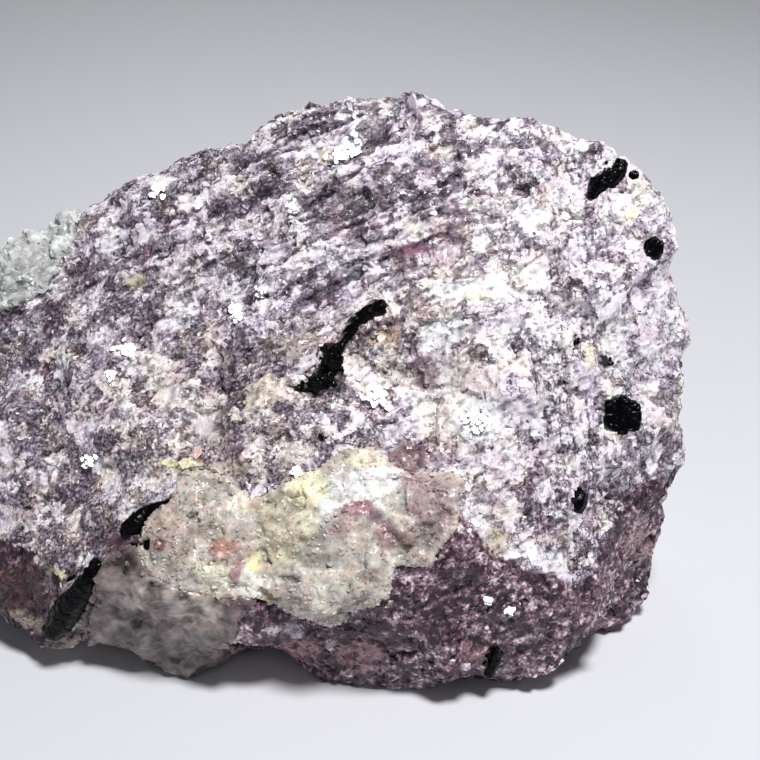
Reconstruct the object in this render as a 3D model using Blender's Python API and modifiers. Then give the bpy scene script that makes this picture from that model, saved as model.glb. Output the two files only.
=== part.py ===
"""Raw lepidolite: a broken block of lilac mica, with bodies of quartz and rods of black tourmaline set in it.

The block stands on its worn sole at z = 0, with x to the right, y to the back and z up. Every size below is
in millimetres, and the meshes are made in metres. The broken front leans back, so what shows on it is laid
out in the front frame: x across, v up the slope and w out of the rock.
"""

import math

import bmesh
import bpy
from mathutils import Vector, noise
from mathutils.bvhtree import BVHTree
from mathutils.geometry import intersect_point_line

MM = 0.001
GAP = 0.3
WELD = 0.002
GROUND_SIZE = (200, 200, 20)

# The front frame
LEAN = math.radians(30)
ACROSS = Vector((1, 0, 0))
UP_SLOPE = Vector((0, math.sin(LEAN), math.cos(LEAN)))
OUT = Vector((0, -math.cos(LEAN), math.sin(LEAN)))
FAR_OUT = 60

# The block as it broke
CORNERS = (
    # sole, from the front foot round by the right
    (3, -25.5, -2), (12, -22, -3), (25, -20, -4), (35, -12, -3), (40, -5, -3), (42, 4, -2), (38, 18, -2),
    (20, 29, -2), (-10, 30, -2), (-36, 24, -2), (-45, 10, -2), (-42, -8, -3), (-34, -14, -3), (-25, -17, -3),
    (-16, -21.5, -2),
    # front edge, clear of what the block stands on
    (13, -26.8, 2.2), (28, -28.5, 2.2), (34, -20, 2), (41, -10, 2), (-45, -11.5, 2), (-37.5, -20.7, 2), (-30, -23, 2),
    # front ridge, where the lit face turns under
    (-41, -16, 13), (-31, -22, 14), (-16, -26, 14), (1, -29, 14), (15, -28, 20), (26, -27, 18),
    (33, -23.5, 17.5), (39.5, -15, 21.5),
    # right edge and right shoulder
    (45.5, -4, 31), (46.8, -10, 26), (44.7, -4, 41), (43, 0.5, 50), (39.5, 3.5, 54.5), (35.5, 8, 59),
    (30, -14, 38), (32, -6, 49),
    # crest, from right to left
    (26.5, 10, 61.5), (17, 12.5, 62), (6.5, 15.5, 62.9), (-3, 17, 60), (-14, 16, 54.2), (-25, 19, 46.2),
    (-35, 22, 40), (-43, 14, 37.5),
    # soft ridge between the streaked top and the front
    (-22, 5, 39), (-2, 0, 47.5), (15, 4, 54),
    # left end and back
    (-48, 3, 20), (-47, 14, 30), (-45, 22, 18), (-20, 29, 34), (10, 30, 42), (31, 23, 38), (43, 10, 32),
)
BLOCK_VOXEL = 1.2
SURFACE_VOXEL = 1
EDGE_ROUNDING = 4
MASS_FACES = 6000

# Relief of the broken surface: size of the pattern, its height, and a shift that picks the pattern
BROAD_LUMPS = (21, 1.0, (3.1, 7.7, 1.3))
LARGE_BLOCKS = (8.5, 1.1, (9.2, 2.4, 6.8))
SMALL_BLOCKS = (4.4, 0.6, (5.5, 8.1, 2.9))
BLOCK_TILT = 0.7
PATTERN_SCALE = 7.3

# Hollows where pieces broke away: middle, radius and depth
DENTS = (
    ((-7, -23, 0), 10, 5.5),
    ((-24, -20, 0), 9, 4.5),
)

# Ledges of the streaked top: their slope across the front frame, their spacing and height, how far they wander,
# and where they fade in with height and fade out to the right
LEDGE_SLOPE = math.radians(22)
LEDGE_SPACING = 5.5
LEDGE_HEIGHT = 1.1
LEDGE_WANDER = (1.6, 11)
LEDGE_LENGTH = 17
LEDGE_FADE_IN = (26, 36)
LEDGE_FADE_OUT = (30, 14)

# Upright grooves near the right edge: the band that they fill, their spacing, depth and wander
GROOVE_BAND = (25, 37)
GROOVE_SPACING = 3.4
GROOVE_DEPTH = 0.5
GROOVE_WANDER = (1.2, 9)
GROOVE_EDGE = 3

# Bodies of quartz: each has an outline in the front frame, how far out its hidden back lies, how far its face
# stands proud of the block, the relief of that face and its share of the faces of a whole block
LENS = {
    "outline": (
        (-16.5, 10), (-19, 8.5), (-20, 6.5), (-20.5, 4.5), (-19, 2), (-16, 0.5), (-12, -0.5), (-7, -0.5),
        (-4, -1.5), (-2, -2.5), (1.5, -4), (3, -3.5), (3.5, -2), (7, -1), (8, 0), (9, 3.5), (13, 3.5),
        (14.5, 6), (16, 7.5), (16.5, 10.5), (16.5, 13), (14.5, 13.5), (11.5, 13), (9, 14), (6.5, 16),
        (3.5, 16), (1, 14), (-3, 12), (-7.5, 10), (-10, 12.5), (-13.5, 13.5), (-15.5, 13),
    ),
    "back": 22,
    "proud": 1.8,
    "relief": ((7, 0.7, (1.7, 4.4, 9.1)), (2.6, 0.35, (7.2, 1.9, 3.3))),
    "faces": 15000,
}
FOOT = {
    "outline": (
        (-24.5, 3), (-25.5, 1), (-25.5, -1.5), (-27, -3.5), (-27, -6.5), (-28.5, -9), (-27, -15), (-19, -17),
        (-12.5, -14.5), (-11, -10), (-12, -7.5), (-9.5, -5.5), (-9, -3), (-7, -1.5), (-7, 1), (-13, 4),
        (-19, 4), (-22, 4.5),
    ),
    "back": 13,
    "proud": 0.9,
    "relief": ((9, 1.2, (4.1, 2.2, 8.8)), (4, 0.3, (1.2, 6.9, 2.3))),
    "faces": 9000,
}
KNOB = {
    "outline": (
        (-46, 35), (-41, 33.5), (-37, 35), (-34, 38.5), (-32, 43), (-33, 50), (-40, 52), (-50, 46),
    ),
    "back": -8,
    "proud": 1.6,
    "relief": ((9, 1.4, (8.3, 3.1, 2.7)), (4, 0.4, (2.9, 5.5, 7.3))),
    "faces": 9000,
}
RIM_WIDTH = 2.5
RIM_PROUD = 0.4

# Rods of tourmaline that lie in the broken surface, each by its route in the front frame: x, v and radius
LYING_RODS = {
    "tourmaline_rod_top_right": (
        (36.2, 50.3, 0.7), (35.8, 48.7, 0.9), (34.5, 47.6, 1.2), (33.1, 47.3, 1.2), (32.5, 45.9, 0.6),
    ),
    "tourmaline_rod_centre": (
        (8, 32.9, 0.9), (5.9, 32, 0.9), (4.4, 30.4, 0.7), (3, 28.6, 0.6), (1.6, 27.6, 0.95), (2, 25.6, 1.05),
        (0.7, 24, 0.9), (-0.9, 23.4, 0.6), (-2.6, 23.2, 0.35),
    ),
    "tourmaline_wedge_left": (
        (-17, 10.1, 0.35), (-18.7, 9.3, 0.6), (-20, 8.7, 0.8), (-21, 7.5, 1.2), (-22.6, 6.7, 0.7),
    ),
    "tourmaline_rod_lower_left": (
        (-25.5, 2.8, 0.5), (-26.6, 0.9, 0.7), (-28, -1, 1.1), (-29.4, -2.7, 1.5), (-30.7, -4.7, 1.35),
        (-32, -6.2, 0.9),
    ),
    "tourmaline_stub_right": ((30.9, 11.2, 0.8), (30.5, 10.2, 1.1), (30.1, 9.1, 0.9)),
    "tourmaline_sliver_front": ((21.2, -6.9, 0.35), (20.9, -8.6, 0.7), (20.3, -10.4, 0.6)),
}
ROD_SIDES = 8
FLUTE = 0.93
ROD_SINK = 0.3

# Rods that stand out of the surface, seen end on: x, v and radius
STANDING_RODS = {
    "tourmaline_hexagon_right": (35.9, 20.1, 2.35),
    "tourmaline_stub_right_edge": (39.7, 39.7, 1.15),
    "tourmaline_stub_top_right": (37.5, 48.4, 0.6),
    "tourmaline_stub_left": (-19.3, 5.1, 0.75),
}
STANDING_SIDES = 6
STANDING_ROOT = 5
STANDING_PROUD = 0.6

COLOURS = {
    "lepidolite": (0.46, 0.38, 0.48),
    "feldspathic_quartz": (0.62, 0.58, 0.5),
    "smoky_quartz": (0.34, 0.31, 0.31),
    "white_quartz": (0.7, 0.7, 0.7),
    "tourmaline": (0.012, 0.012, 0.014),
}
ROUGHNESS = {
    "lepidolite": 0.5,
    "feldspathic_quartz": 0.35,
    "smoky_quartz": 0.25,
    "white_quartz": 0.4,
    "tourmaline": 0.3,
}


def to_block(x, v, w):
    """A point of the front frame, as a point of the block."""
    return x * ACROSS + v * UP_SLOPE + w * OUT


def to_front(point):
    """The x and v of a point of the block."""
    return Vector((point.x, point.dot(UP_SLOPE)))


def make_collection(name):
    collection = bpy.data.collections.new(name)
    bpy.context.scene.collection.children.link(collection)
    return collection


def object_from(bm, name, collection):
    mesh = bpy.data.meshes.new(name)
    bm.to_mesh(mesh)
    bm.free()
    obj = bpy.data.objects.new(name, mesh)
    collection.objects.link(obj)
    return obj


def modified(obj, kind, **settings):
    """The object with one modifier applied."""
    modifier = obj.modifiers.new(kind.lower(), kind)
    for key, value in settings.items():
        setattr(modifier, key, value)
    graph = bpy.context.evaluated_depsgraph_get()
    mesh = bpy.data.meshes.new_from_object(obj.evaluated_get(graph))
    obj.modifiers.clear()
    obj.data = mesh
    return obj


def lumps(point, size, height, shift):
    """Rounded swellings in three octaves."""
    return height * noise.fractal(point / size + Vector(shift), 0.9, 2, 3)


def blocks(point, size, height, shift):
    """Broken steps: each cell of the pattern has its own level and its own tilt."""
    place = point / size + Vector(shift)
    centre = noise.voronoi(place)[1][0]
    level = noise.cell(centre * PATTERN_SCALE) - 0.5
    tilt = noise.cell_vector(centre * PATTERN_SCALE) - Vector((0.5, 0.5, 0.5))
    return height * (level + BLOCK_TILT * tilt.dot(place - centre))


def fade(value, start, end):
    """A smooth step from 0 at the start to 1 at the end."""
    t = min(max((value - start) / (end - start), 0), 1)
    return t * t * (3 - 2 * t)


def ledges(point):
    """Saw-toothed ledges across the streaked top, each with a height of its own."""
    front = to_front(point)
    up = front.y * math.cos(LEDGE_SLOPE) - front.x * math.sin(LEDGE_SLOPE)
    wander, size = LEDGE_WANDER
    turn = (up + wander * noise.noise(point / size)) / LEDGE_SPACING
    number = math.floor(turn)
    height = LEDGE_HEIGHT * (1 + noise.cell(Vector((number, point.x / LEDGE_LENGTH, 0)))) / 2
    here = fade(point.z, *LEDGE_FADE_IN) * fade(-point.x, *(-x for x in LEDGE_FADE_OUT))
    return height * here * (number + 0.5 - turn)


def grooves(point):
    low, high = GROOVE_BAND
    here = fade(point.x, low, low + GROOVE_EDGE) * fade(high - point.x, 0, GROOVE_EDGE)
    wander, size = GROOVE_WANDER
    turn = (point.x + wander * noise.noise(point / size)) / GROOVE_SPACING
    on_front = fade(-point.y, 0, GROOVE_EDGE)
    return -GROOVE_DEPTH * here * on_front * math.cos(2 * math.pi * turn)


def dents(point):
    """How deep the surface lies below the block's, where pieces broke away."""
    depth = 0
    for middle, radius, deepest in DENTS:
        depth += deepest * fade(radius - (point - Vector(middle)).length, 0, radius)
    return depth


def relief(point):
    """How far the broken surface stands out at a point of the block."""
    rough = lumps(point, *BROAD_LUMPS) + blocks(point, *LARGE_BLOCKS) + blocks(point, *SMALL_BLOCKS)
    return rough + ledges(point) + grooves(point) - dents(point)


def pushed_out(obj, amount):
    """Moves each point of the mesh along its normal, by the amount that a function gives."""
    mesh = obj.data
    places = [v.co + v.normal * amount(v.co / MM) * MM for v in mesh.vertices]
    for vertex, place in zip(mesh.vertices, places):
        vertex.co = place
    return obj


def with_faces(obj, count):
    """The object with about so many triangles."""
    share = count / (2 * len(obj.data.polygons))
    return modified(obj, "DECIMATE", ratio=min(share, 1))


def copied(obj, name, collection):
    twin = bpy.data.objects.new(name, obj.data.copy())
    collection.objects.link(twin)
    return twin


def combined(obj, other, operation):
    """The object after a Boolean with another."""
    return modified(obj, "BOOLEAN", object=other, operation=operation, solver="EXACT")


def tidied(obj):
    """The largest body of the object, without needle faces."""
    bm = bmesh.new()
    bm.from_mesh(obj.data)
    for island in islands_of(bm)[1:]:
        bmesh.ops.delete(bm, geom=island, context="VERTS")
    bmesh.ops.dissolve_degenerate(bm, edges=bm.edges, dist=WELD * MM)
    bmesh.ops.triangulate(bm, faces=bm.faces)
    bm.to_mesh(obj.data)
    bm.free()
    return obj


def islands_of(bm):
    """The points of each separate body, the largest first."""
    left = set(bm.verts)
    islands = []
    while left:
        island = {left.pop()}
        edge = list(island)
        while edge:
            near = {e.other_vert(v) for v in edge for e in v.link_edges} - island
            island |= near
            edge = list(near)
        left -= island
        islands.append(list(island))
    return sorted(islands, key=len, reverse=True)


def rough_block(collection):
    """The whole block with its broken surface, before anything is set in it."""
    bm = bmesh.new()
    for corner in CORNERS:
        bm.verts.new(Vector(corner) * MM)
    hull = bmesh.ops.convex_hull(bm, input=bm.verts)
    inside = [item for item in hull["geom_interior"] if isinstance(item, bmesh.types.BMVert)]
    bmesh.ops.delete(bm, geom=inside, context="VERTS")
    block = object_from(bm, "block", collection)
    modified(block, "REMESH", mode="VOXEL", voxel_size=BLOCK_VOXEL * MM)
    modified(block, "SMOOTH", factor=0.5, iterations=EDGE_ROUNDING)
    pushed_out(block, relief)
    modified(block, "SMOOTH", factor=0.5, iterations=1)
    return modified(block, "REMESH", mode="VOXEL", voxel_size=SURFACE_VOXEL * MM)


def ground(collection):
    """What lies under the sole, as a cutter."""
    bm = bmesh.new()
    bmesh.ops.create_cube(bm, size=1)
    bmesh.ops.scale(bm, verts=bm.verts, vec=Vector(GROUND_SIZE) * MM)
    bmesh.ops.translate(bm, verts=bm.verts, vec=Vector((0, 0, -GROUND_SIZE[2] / 2)) * MM)
    return object_from(bm, "ground", collection)


def grown(outline, by):
    """A counter-clockwise outline of the front frame, moved outwards."""
    corners = [Vector(point) for point in outline]
    moved = []
    for before, corner, after in zip(corners[-1:] + corners, corners, corners[1:] + corners[:1]):
        along = (corner - before).normalized() + (after - corner).normalized()
        outwards = Vector((along.y, -along.x)).normalized()
        moved.append(corner + outwards * by / max(along.length / 2, 0.5))
    return moved


def prism(name, outline, back, collection, extra=0):
    """A closed prism on an outline of the front frame, from its back to well outside the block."""
    bm = bmesh.new()
    corners = [to_block(x, v, back - extra) * MM for x, v in grown(outline, extra)]
    floor = bm.faces.new([bm.verts.new(corner) for corner in corners])
    raised = bmesh.ops.extrude_face_region(bm, geom=[floor])
    top = [item for item in raised["geom"] if isinstance(item, bmesh.types.BMVert)]
    bmesh.ops.translate(bm, verts=top, vec=OUT * (FAR_OUT - back) * MM)
    bmesh.ops.recalc_face_normals(bm, faces=bm.faces)
    return object_from(bm, name, collection)


def rim_distance(point, outline):
    """How far a point of the front frame lies inside an outline, and 0 outside it."""
    corners = [Vector(corner) for corner in outline]
    nearest = math.inf
    inside = False
    for start, end in zip(corners, corners[1:] + corners[:1]):
        foot, share = intersect_point_line(point, start, end)
        foot = foot if 0 < share < 1 else (start if share <= 0 else end)
        nearest = min(nearest, (foot - point).length)
        if (start.y > point.y) != (end.y > point.y):
            crossing = start.x + (point.y - start.y) * (end.x - start.x) / (end.y - start.y)
            inside = inside != (point.x < crossing)
    return nearest if inside else 0


def quartz_body(name, body, block, parts, cutters):
    """A body of quartz grown into the block, and the hollow that it fills with a gap around it."""
    outline = body["outline"]

    def proud(point):
        rise = fade(rim_distance(to_front(point), outline), 0, RIM_WIDTH)
        rough = sum(lumps(point, *each) for each in body["relief"])
        return RIM_PROUD + rise * (body["proud"] - RIM_PROUD + rough)

    quartz = pushed_out(copied(block, name, parts), proud)
    modified(quartz, "REMESH", mode="VOXEL", voxel_size=SURFACE_VOXEL * MM)
    with_faces(quartz, body["faces"])
    combined(quartz, prism(name + "_outline", outline, body["back"], cutters), "INTERSECT")
    hollow = prism(name + "_hollow", outline, body["back"], cutters, extra=GAP)
    return quartz, hollow


def loft(name, centres, radii, upright, sides, flute, collection):
    """A closed rod through the centres: its rings have the radii, and every other corner is drawn in."""
    bm = bmesh.new()
    rings = []
    for i, (centre, radius) in enumerate(zip(centres, radii)):
        along = centres[min(i + 1, len(centres) - 1)] - centres[max(i - 1, 0)]
        side = along.cross(upright).normalized()
        up = side.cross(along).normalized()
        ring = []
        for k in range(sides):
            turn = 2 * math.pi * (k + 0.5) / sides
            reach = radius * (flute if k % 2 else 1)
            place = centre + reach * (math.cos(turn) * side + math.sin(turn) * up)
            ring.append(bm.verts.new(place * MM))
        rings.append(ring)
    for near, far in zip(rings, rings[1:]):
        for k in range(sides):
            bm.faces.new((near[k], near[(k + 1) % sides], far[(k + 1) % sides], far[k]))
    bm.faces.new(rings[0])
    bm.faces.new(rings[-1])
    bmesh.ops.recalc_face_normals(bm, faces=bm.faces)
    return object_from(bm, name, collection)


def lengthened(centres, by):
    """The same route, with both its ends moved outwards."""
    start = centres[0] + (centres[0] - centres[1]).normalized() * by
    end = centres[-1] + (centres[-1] - centres[-2]).normalized() * by
    return [start] + centres[1:-1] + [end]


def lying_rod(name, route, surface, parts, cutters):
    """A rod half sunk along its route in the surface, and the hollow that it lies in."""
    depths = [surface(x, v) - ROD_SINK * radius for x, v, radius in route]
    eased = []
    for i, depth in enumerate(depths):
        near = depths[max(i - 1, 0):i + 2]
        eased.append(max(depth, sum(near) / len(near)))
    centres = [to_block(x, v, w) for (x, v, _), w in zip(route, eased)]
    radii = [radius for _, _, radius in route]
    rod = loft(name, centres, radii, OUT, ROD_SIDES, FLUTE, parts)
    wide = [radius + GAP for radius in radii]
    hollow = loft(name + "_hollow", lengthened(centres, GAP), wide, OUT, ROD_SIDES, 1, cutters)
    return rod, hollow


def standing_rod(name, spot, surface, parts, cutters):
    """A rod rooted in the block with its end just clear of the surface, and the hollow that it stands in."""
    x, v, radius = spot
    top = surface(x, v) + STANDING_PROUD
    root = top - STANDING_ROOT
    rod_ends = [to_block(x, v, root), to_block(x, v, top)]
    rod = loft(name, rod_ends, [radius] * 2, UP_SLOPE, STANDING_SIDES, 1, parts)
    hollow_ends = [to_block(x, v, root - GAP), to_block(x, v, top + radius)]
    hollow = loft(name + "_hollow", hollow_ends, [radius + GAP] * 2, UP_SLOPE, STANDING_SIDES, 1, cutters)
    return rod, hollow


def surface_of(block):
    """A function that gives w of the block's face at x and v of the front frame."""
    tree = BVHTree.FromPolygons(
        [v.co for v in block.data.vertices], [p.vertices for p in block.data.polygons]
    )

    def surface(x, v):
        hit = tree.ray_cast(to_block(x, v, FAR_OUT) * MM, -OUT)[0]
        return hit.dot(OUT) / MM

    return surface


def give_material(objects, slot):
    material = bpy.data.materials.new(slot)
    material.use_nodes = True
    shader = material.node_tree.nodes["Principled BSDF"]
    shader.inputs["Base Color"].default_value = (*COLOURS[slot], 1)
    shader.inputs["Roughness"].default_value = ROUGHNESS[slot]
    shader.inputs["Metallic"].default_value = 0
    for obj in objects:
        obj.data.materials.clear()
        obj.data.materials.append(material)


def centred(parts, cutters):
    """Moves everything so that the middle of the parts' box stands over the origin."""
    points = [v.co for obj in parts.objects for v in obj.data.vertices]
    middle_x = (min(p.x for p in points) + max(p.x for p in points)) / 2
    middle_y = (min(p.y for p in points) + max(p.y for p in points)) / 2
    for obj in [*parts.objects, *cutters.objects]:
        for vertex in obj.data.vertices:
            vertex.co -= Vector((middle_x, middle_y, 0))


def main():
    for obj in list(bpy.data.objects):
        bpy.data.objects.remove(obj)
    parts = make_collection("raw_lepidolite")
    cutters = make_collection("raw_lepidolite_cutters")

    block = rough_block(cutters)
    surface = surface_of(block)
    rods = [lying_rod(name, route, surface, parts, cutters) for name, route in LYING_RODS.items()]
    rods += [standing_rod(name, spot, surface, parts, cutters) for name, spot in STANDING_RODS.items()]
    bodies = {
        "quartz_lens": quartz_body("quartz_lens", LENS, block, parts, cutters),
        "smoky_quartz_foot": quartz_body("smoky_quartz_foot", FOOT, block, parts, cutters),
        "white_quartz_knob": quartz_body("white_quartz_knob", KNOB, block, parts, cutters),
    }
    mass = with_faces(copied(block, "lepidolite_mass", parts), MASS_FACES)

    # Each thing gives way to those that grew before it: first the rods, then the lens, then the other quartz
    earlier = [hollow for _, hollow in rods]
    for quartz, hollow in bodies.values():
        for other in earlier:
            combined(quartz, other, "DIFFERENCE")
        earlier.append(hollow)
    for other in earlier:
        combined(mass, other, "DIFFERENCE")
    under = ground(cutters)
    for obj in parts.objects:
        tidied(combined(obj, under, "DIFFERENCE"))

    bpy.data.objects.remove(block)
    for cutter in cutters.objects:
        cutter.hide_render = True
        cutter.display_type = "WIRE"
    centred(parts, cutters)
    give_material([mass], "lepidolite")
    give_material([bodies["quartz_lens"][0]], "feldspathic_quartz")
    give_material([bodies["smoky_quartz_foot"][0]], "smoky_quartz")
    give_material([bodies["white_quartz_knob"][0]], "white_quartz")
    give_material([rod for rod, _ in rods], "tourmaline")


main()
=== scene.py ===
"""Looks of the raw lepidolite: a sugary lilac surface of mica plates, with quartz and black tourmaline in it.

Sizes are in millimetres unless a name says otherwise. What shows on the front is placed by its pixel in the
photograph, a square of 760, and laid on the block where the camera's ray meets it.
"""

import math

import bmesh
import bpy
import numpy as np
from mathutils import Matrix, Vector, noise
from mathutils.bvhtree import BVHTree


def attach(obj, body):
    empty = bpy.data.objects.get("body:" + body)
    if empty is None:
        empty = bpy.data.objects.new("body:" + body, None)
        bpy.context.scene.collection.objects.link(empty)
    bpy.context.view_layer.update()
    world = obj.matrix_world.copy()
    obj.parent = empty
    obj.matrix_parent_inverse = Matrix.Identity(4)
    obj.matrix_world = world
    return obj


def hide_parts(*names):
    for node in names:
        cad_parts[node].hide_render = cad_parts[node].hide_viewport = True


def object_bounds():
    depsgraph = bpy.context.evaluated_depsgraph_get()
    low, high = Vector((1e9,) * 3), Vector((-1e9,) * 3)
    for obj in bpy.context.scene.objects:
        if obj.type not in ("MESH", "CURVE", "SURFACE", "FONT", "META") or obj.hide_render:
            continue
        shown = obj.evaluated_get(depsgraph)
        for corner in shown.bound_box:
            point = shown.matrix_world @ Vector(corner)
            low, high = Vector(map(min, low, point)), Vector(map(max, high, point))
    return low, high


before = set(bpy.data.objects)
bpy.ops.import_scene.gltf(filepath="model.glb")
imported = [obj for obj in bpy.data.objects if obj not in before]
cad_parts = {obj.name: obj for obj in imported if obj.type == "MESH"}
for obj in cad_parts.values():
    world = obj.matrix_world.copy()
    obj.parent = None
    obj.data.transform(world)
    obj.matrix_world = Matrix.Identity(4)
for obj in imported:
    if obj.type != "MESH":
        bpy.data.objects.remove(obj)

MM = 0.001
CAD_BOX = [[float(c) for c in corner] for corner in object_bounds()]

# The camera of the photograph
PHOTO = 760
FOCAL = 1600
LEAN = math.radians(30)
DISTANCE = 200
TARGET = np.array((8.47, -0.57, 28))
UP = np.array((0, math.sin(LEAN), math.cos(LEAN)))
OUT = np.array((0, -math.cos(LEAN), math.sin(LEAN)))
EYE = TARGET + DISTANCE * OUT

# Where the main light comes from
KEY_DIRECTION = np.array((0.20, -0.29, 0.935))
KEY_DISTANCE = 420

# Colours
WHITE = (0.93, 0.92, 0.94)
CREAM = (0.86, 0.80, 0.66)
YELLOW = (0.86, 0.81, 0.55)
TAN = (0.60, 0.52, 0.42)
RUST = (0.52, 0.30, 0.25)
ROSE = (0.42, 0.24, 0.27)
PINK = (0.62, 0.44, 0.46)
PLUM = (0.20, 0.11, 0.17)
INK = (0.03, 0.028, 0.035)

SCENE = bpy.context.scene


def pixels_of(points):
    """The pixel of the photograph at which each point is seen."""
    offset = points - TARGET
    scale = FOCAL / (DISTANCE - offset @ OUT)
    return PHOTO / 2 + offset[:, 0] * scale, PHOTO / 2 - offset @ UP * scale


def ray_through(px, py):
    """The direction from the eye through a pixel of the photograph."""
    ray = np.array(((px - PHOTO / 2) / FOCAL, 0, 0)) + UP * (PHOTO / 2 - py) / FOCAL - OUT
    return ray / np.linalg.norm(ray)


def smooth_step(values, start, end):
    """From 0 to 1 as the values go from start to end, with eased ends."""
    t = np.clip((values - start) / (end - start), 0, 1)
    return t * t * (3 - 2 * t)


def remesh(obj, voxel):
    """Gives the object even faces of about one size."""
    modifier = obj.modifiers.new("remesh", "REMESH")
    modifier.mode = "VOXEL"
    modifier.voxel_size = voxel * MM
    graph = bpy.context.evaluated_depsgraph_get()
    mesh = bpy.data.meshes.new_from_object(obj.evaluated_get(graph))
    obj.modifiers.clear()
    obj.data = mesh


# Sizes of the small even faces
MASS_FACES = 0.58
QUARTZ_FACES = 0.32
ROD_FACES = 0.14


def fine_copy(node, name, voxel):
    """A copy of a CAD node's solid in small even faces."""
    bm = bmesh.new()
    bm.from_mesh(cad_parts[node].data)
    bmesh.ops.remove_doubles(bm, verts=bm.verts, dist=1e-6)
    mesh = bpy.data.meshes.new(name)
    bm.to_mesh(mesh)
    bm.free()
    obj = bpy.data.objects.new(name, mesh)
    SCENE.collection.objects.link(obj)
    remesh(obj, voxel)
    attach(obj, "root")
    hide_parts(node)
    return obj


def points_of(mesh):
    points = np.empty(len(mesh.vertices) * 3, np.float32)
    mesh.vertices.foreach_get("co", points)
    return points.reshape(-1, 3).astype(float) / MM


def normals_of(mesh):
    normals = np.empty(len(mesh.vertices) * 3, np.float32)
    mesh.vertex_normals.foreach_get("vector", normals)
    return normals.reshape(-1, 3).astype(float)


def put_points(mesh, points):
    """Moves the points, and keeps them inside the CAD model's box."""
    inside = np.clip(points, np.array(CAD_BOX[0]) / MM, np.array(CAD_BOX[1]) / MM)
    mesh.vertices.foreach_set("co", (inside * MM).astype(np.float32).ravel())
    mesh.update()


def noise_at(points, size, shift=0.0, octaves=1):
    """Smooth noise from about -1 to 1 at each point."""
    move = Vector((shift, shift * 0.7, shift * 1.3))
    if octaves == 1:
        return np.array([noise.noise(Vector(p) / size + move) for p in points])
    return np.array([noise.fractal(Vector(p) / size + move, 0.8, 2.0, octaves) for p in points])


def cells_at(points, size, shift=0.0):
    """For each point, how high its cell of a broken pattern stands, from about -1 to 1."""
    move = Vector((shift, shift * 0.7, shift * 1.3))
    heights = []
    for p in points:
        place = Vector(p) / size + move
        centre = noise.voronoi(place)[1][0]
        tilt = noise.cell_vector(centre * 9.1) - Vector((0.5, 0.5, 0.5))
        heights.append(2 * noise.cell(centre * 7.7) - 1 + 2 * tilt.dot(place - centre))
    return np.array(heights)


def set_attribute(mesh, name, values):
    """Keeps a number or a colour with each point of the mesh, for its material."""
    if values.ndim == 1:
        attribute = mesh.attributes.new(name, "FLOAT", "POINT")
        attribute.data.foreach_set("value", values.astype(np.float32))
    else:
        attribute = mesh.attributes.new(name, "FLOAT_COLOR", "POINT")
        attribute.data.foreach_set("color", values.astype(np.float32).ravel())


# Materials

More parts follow.
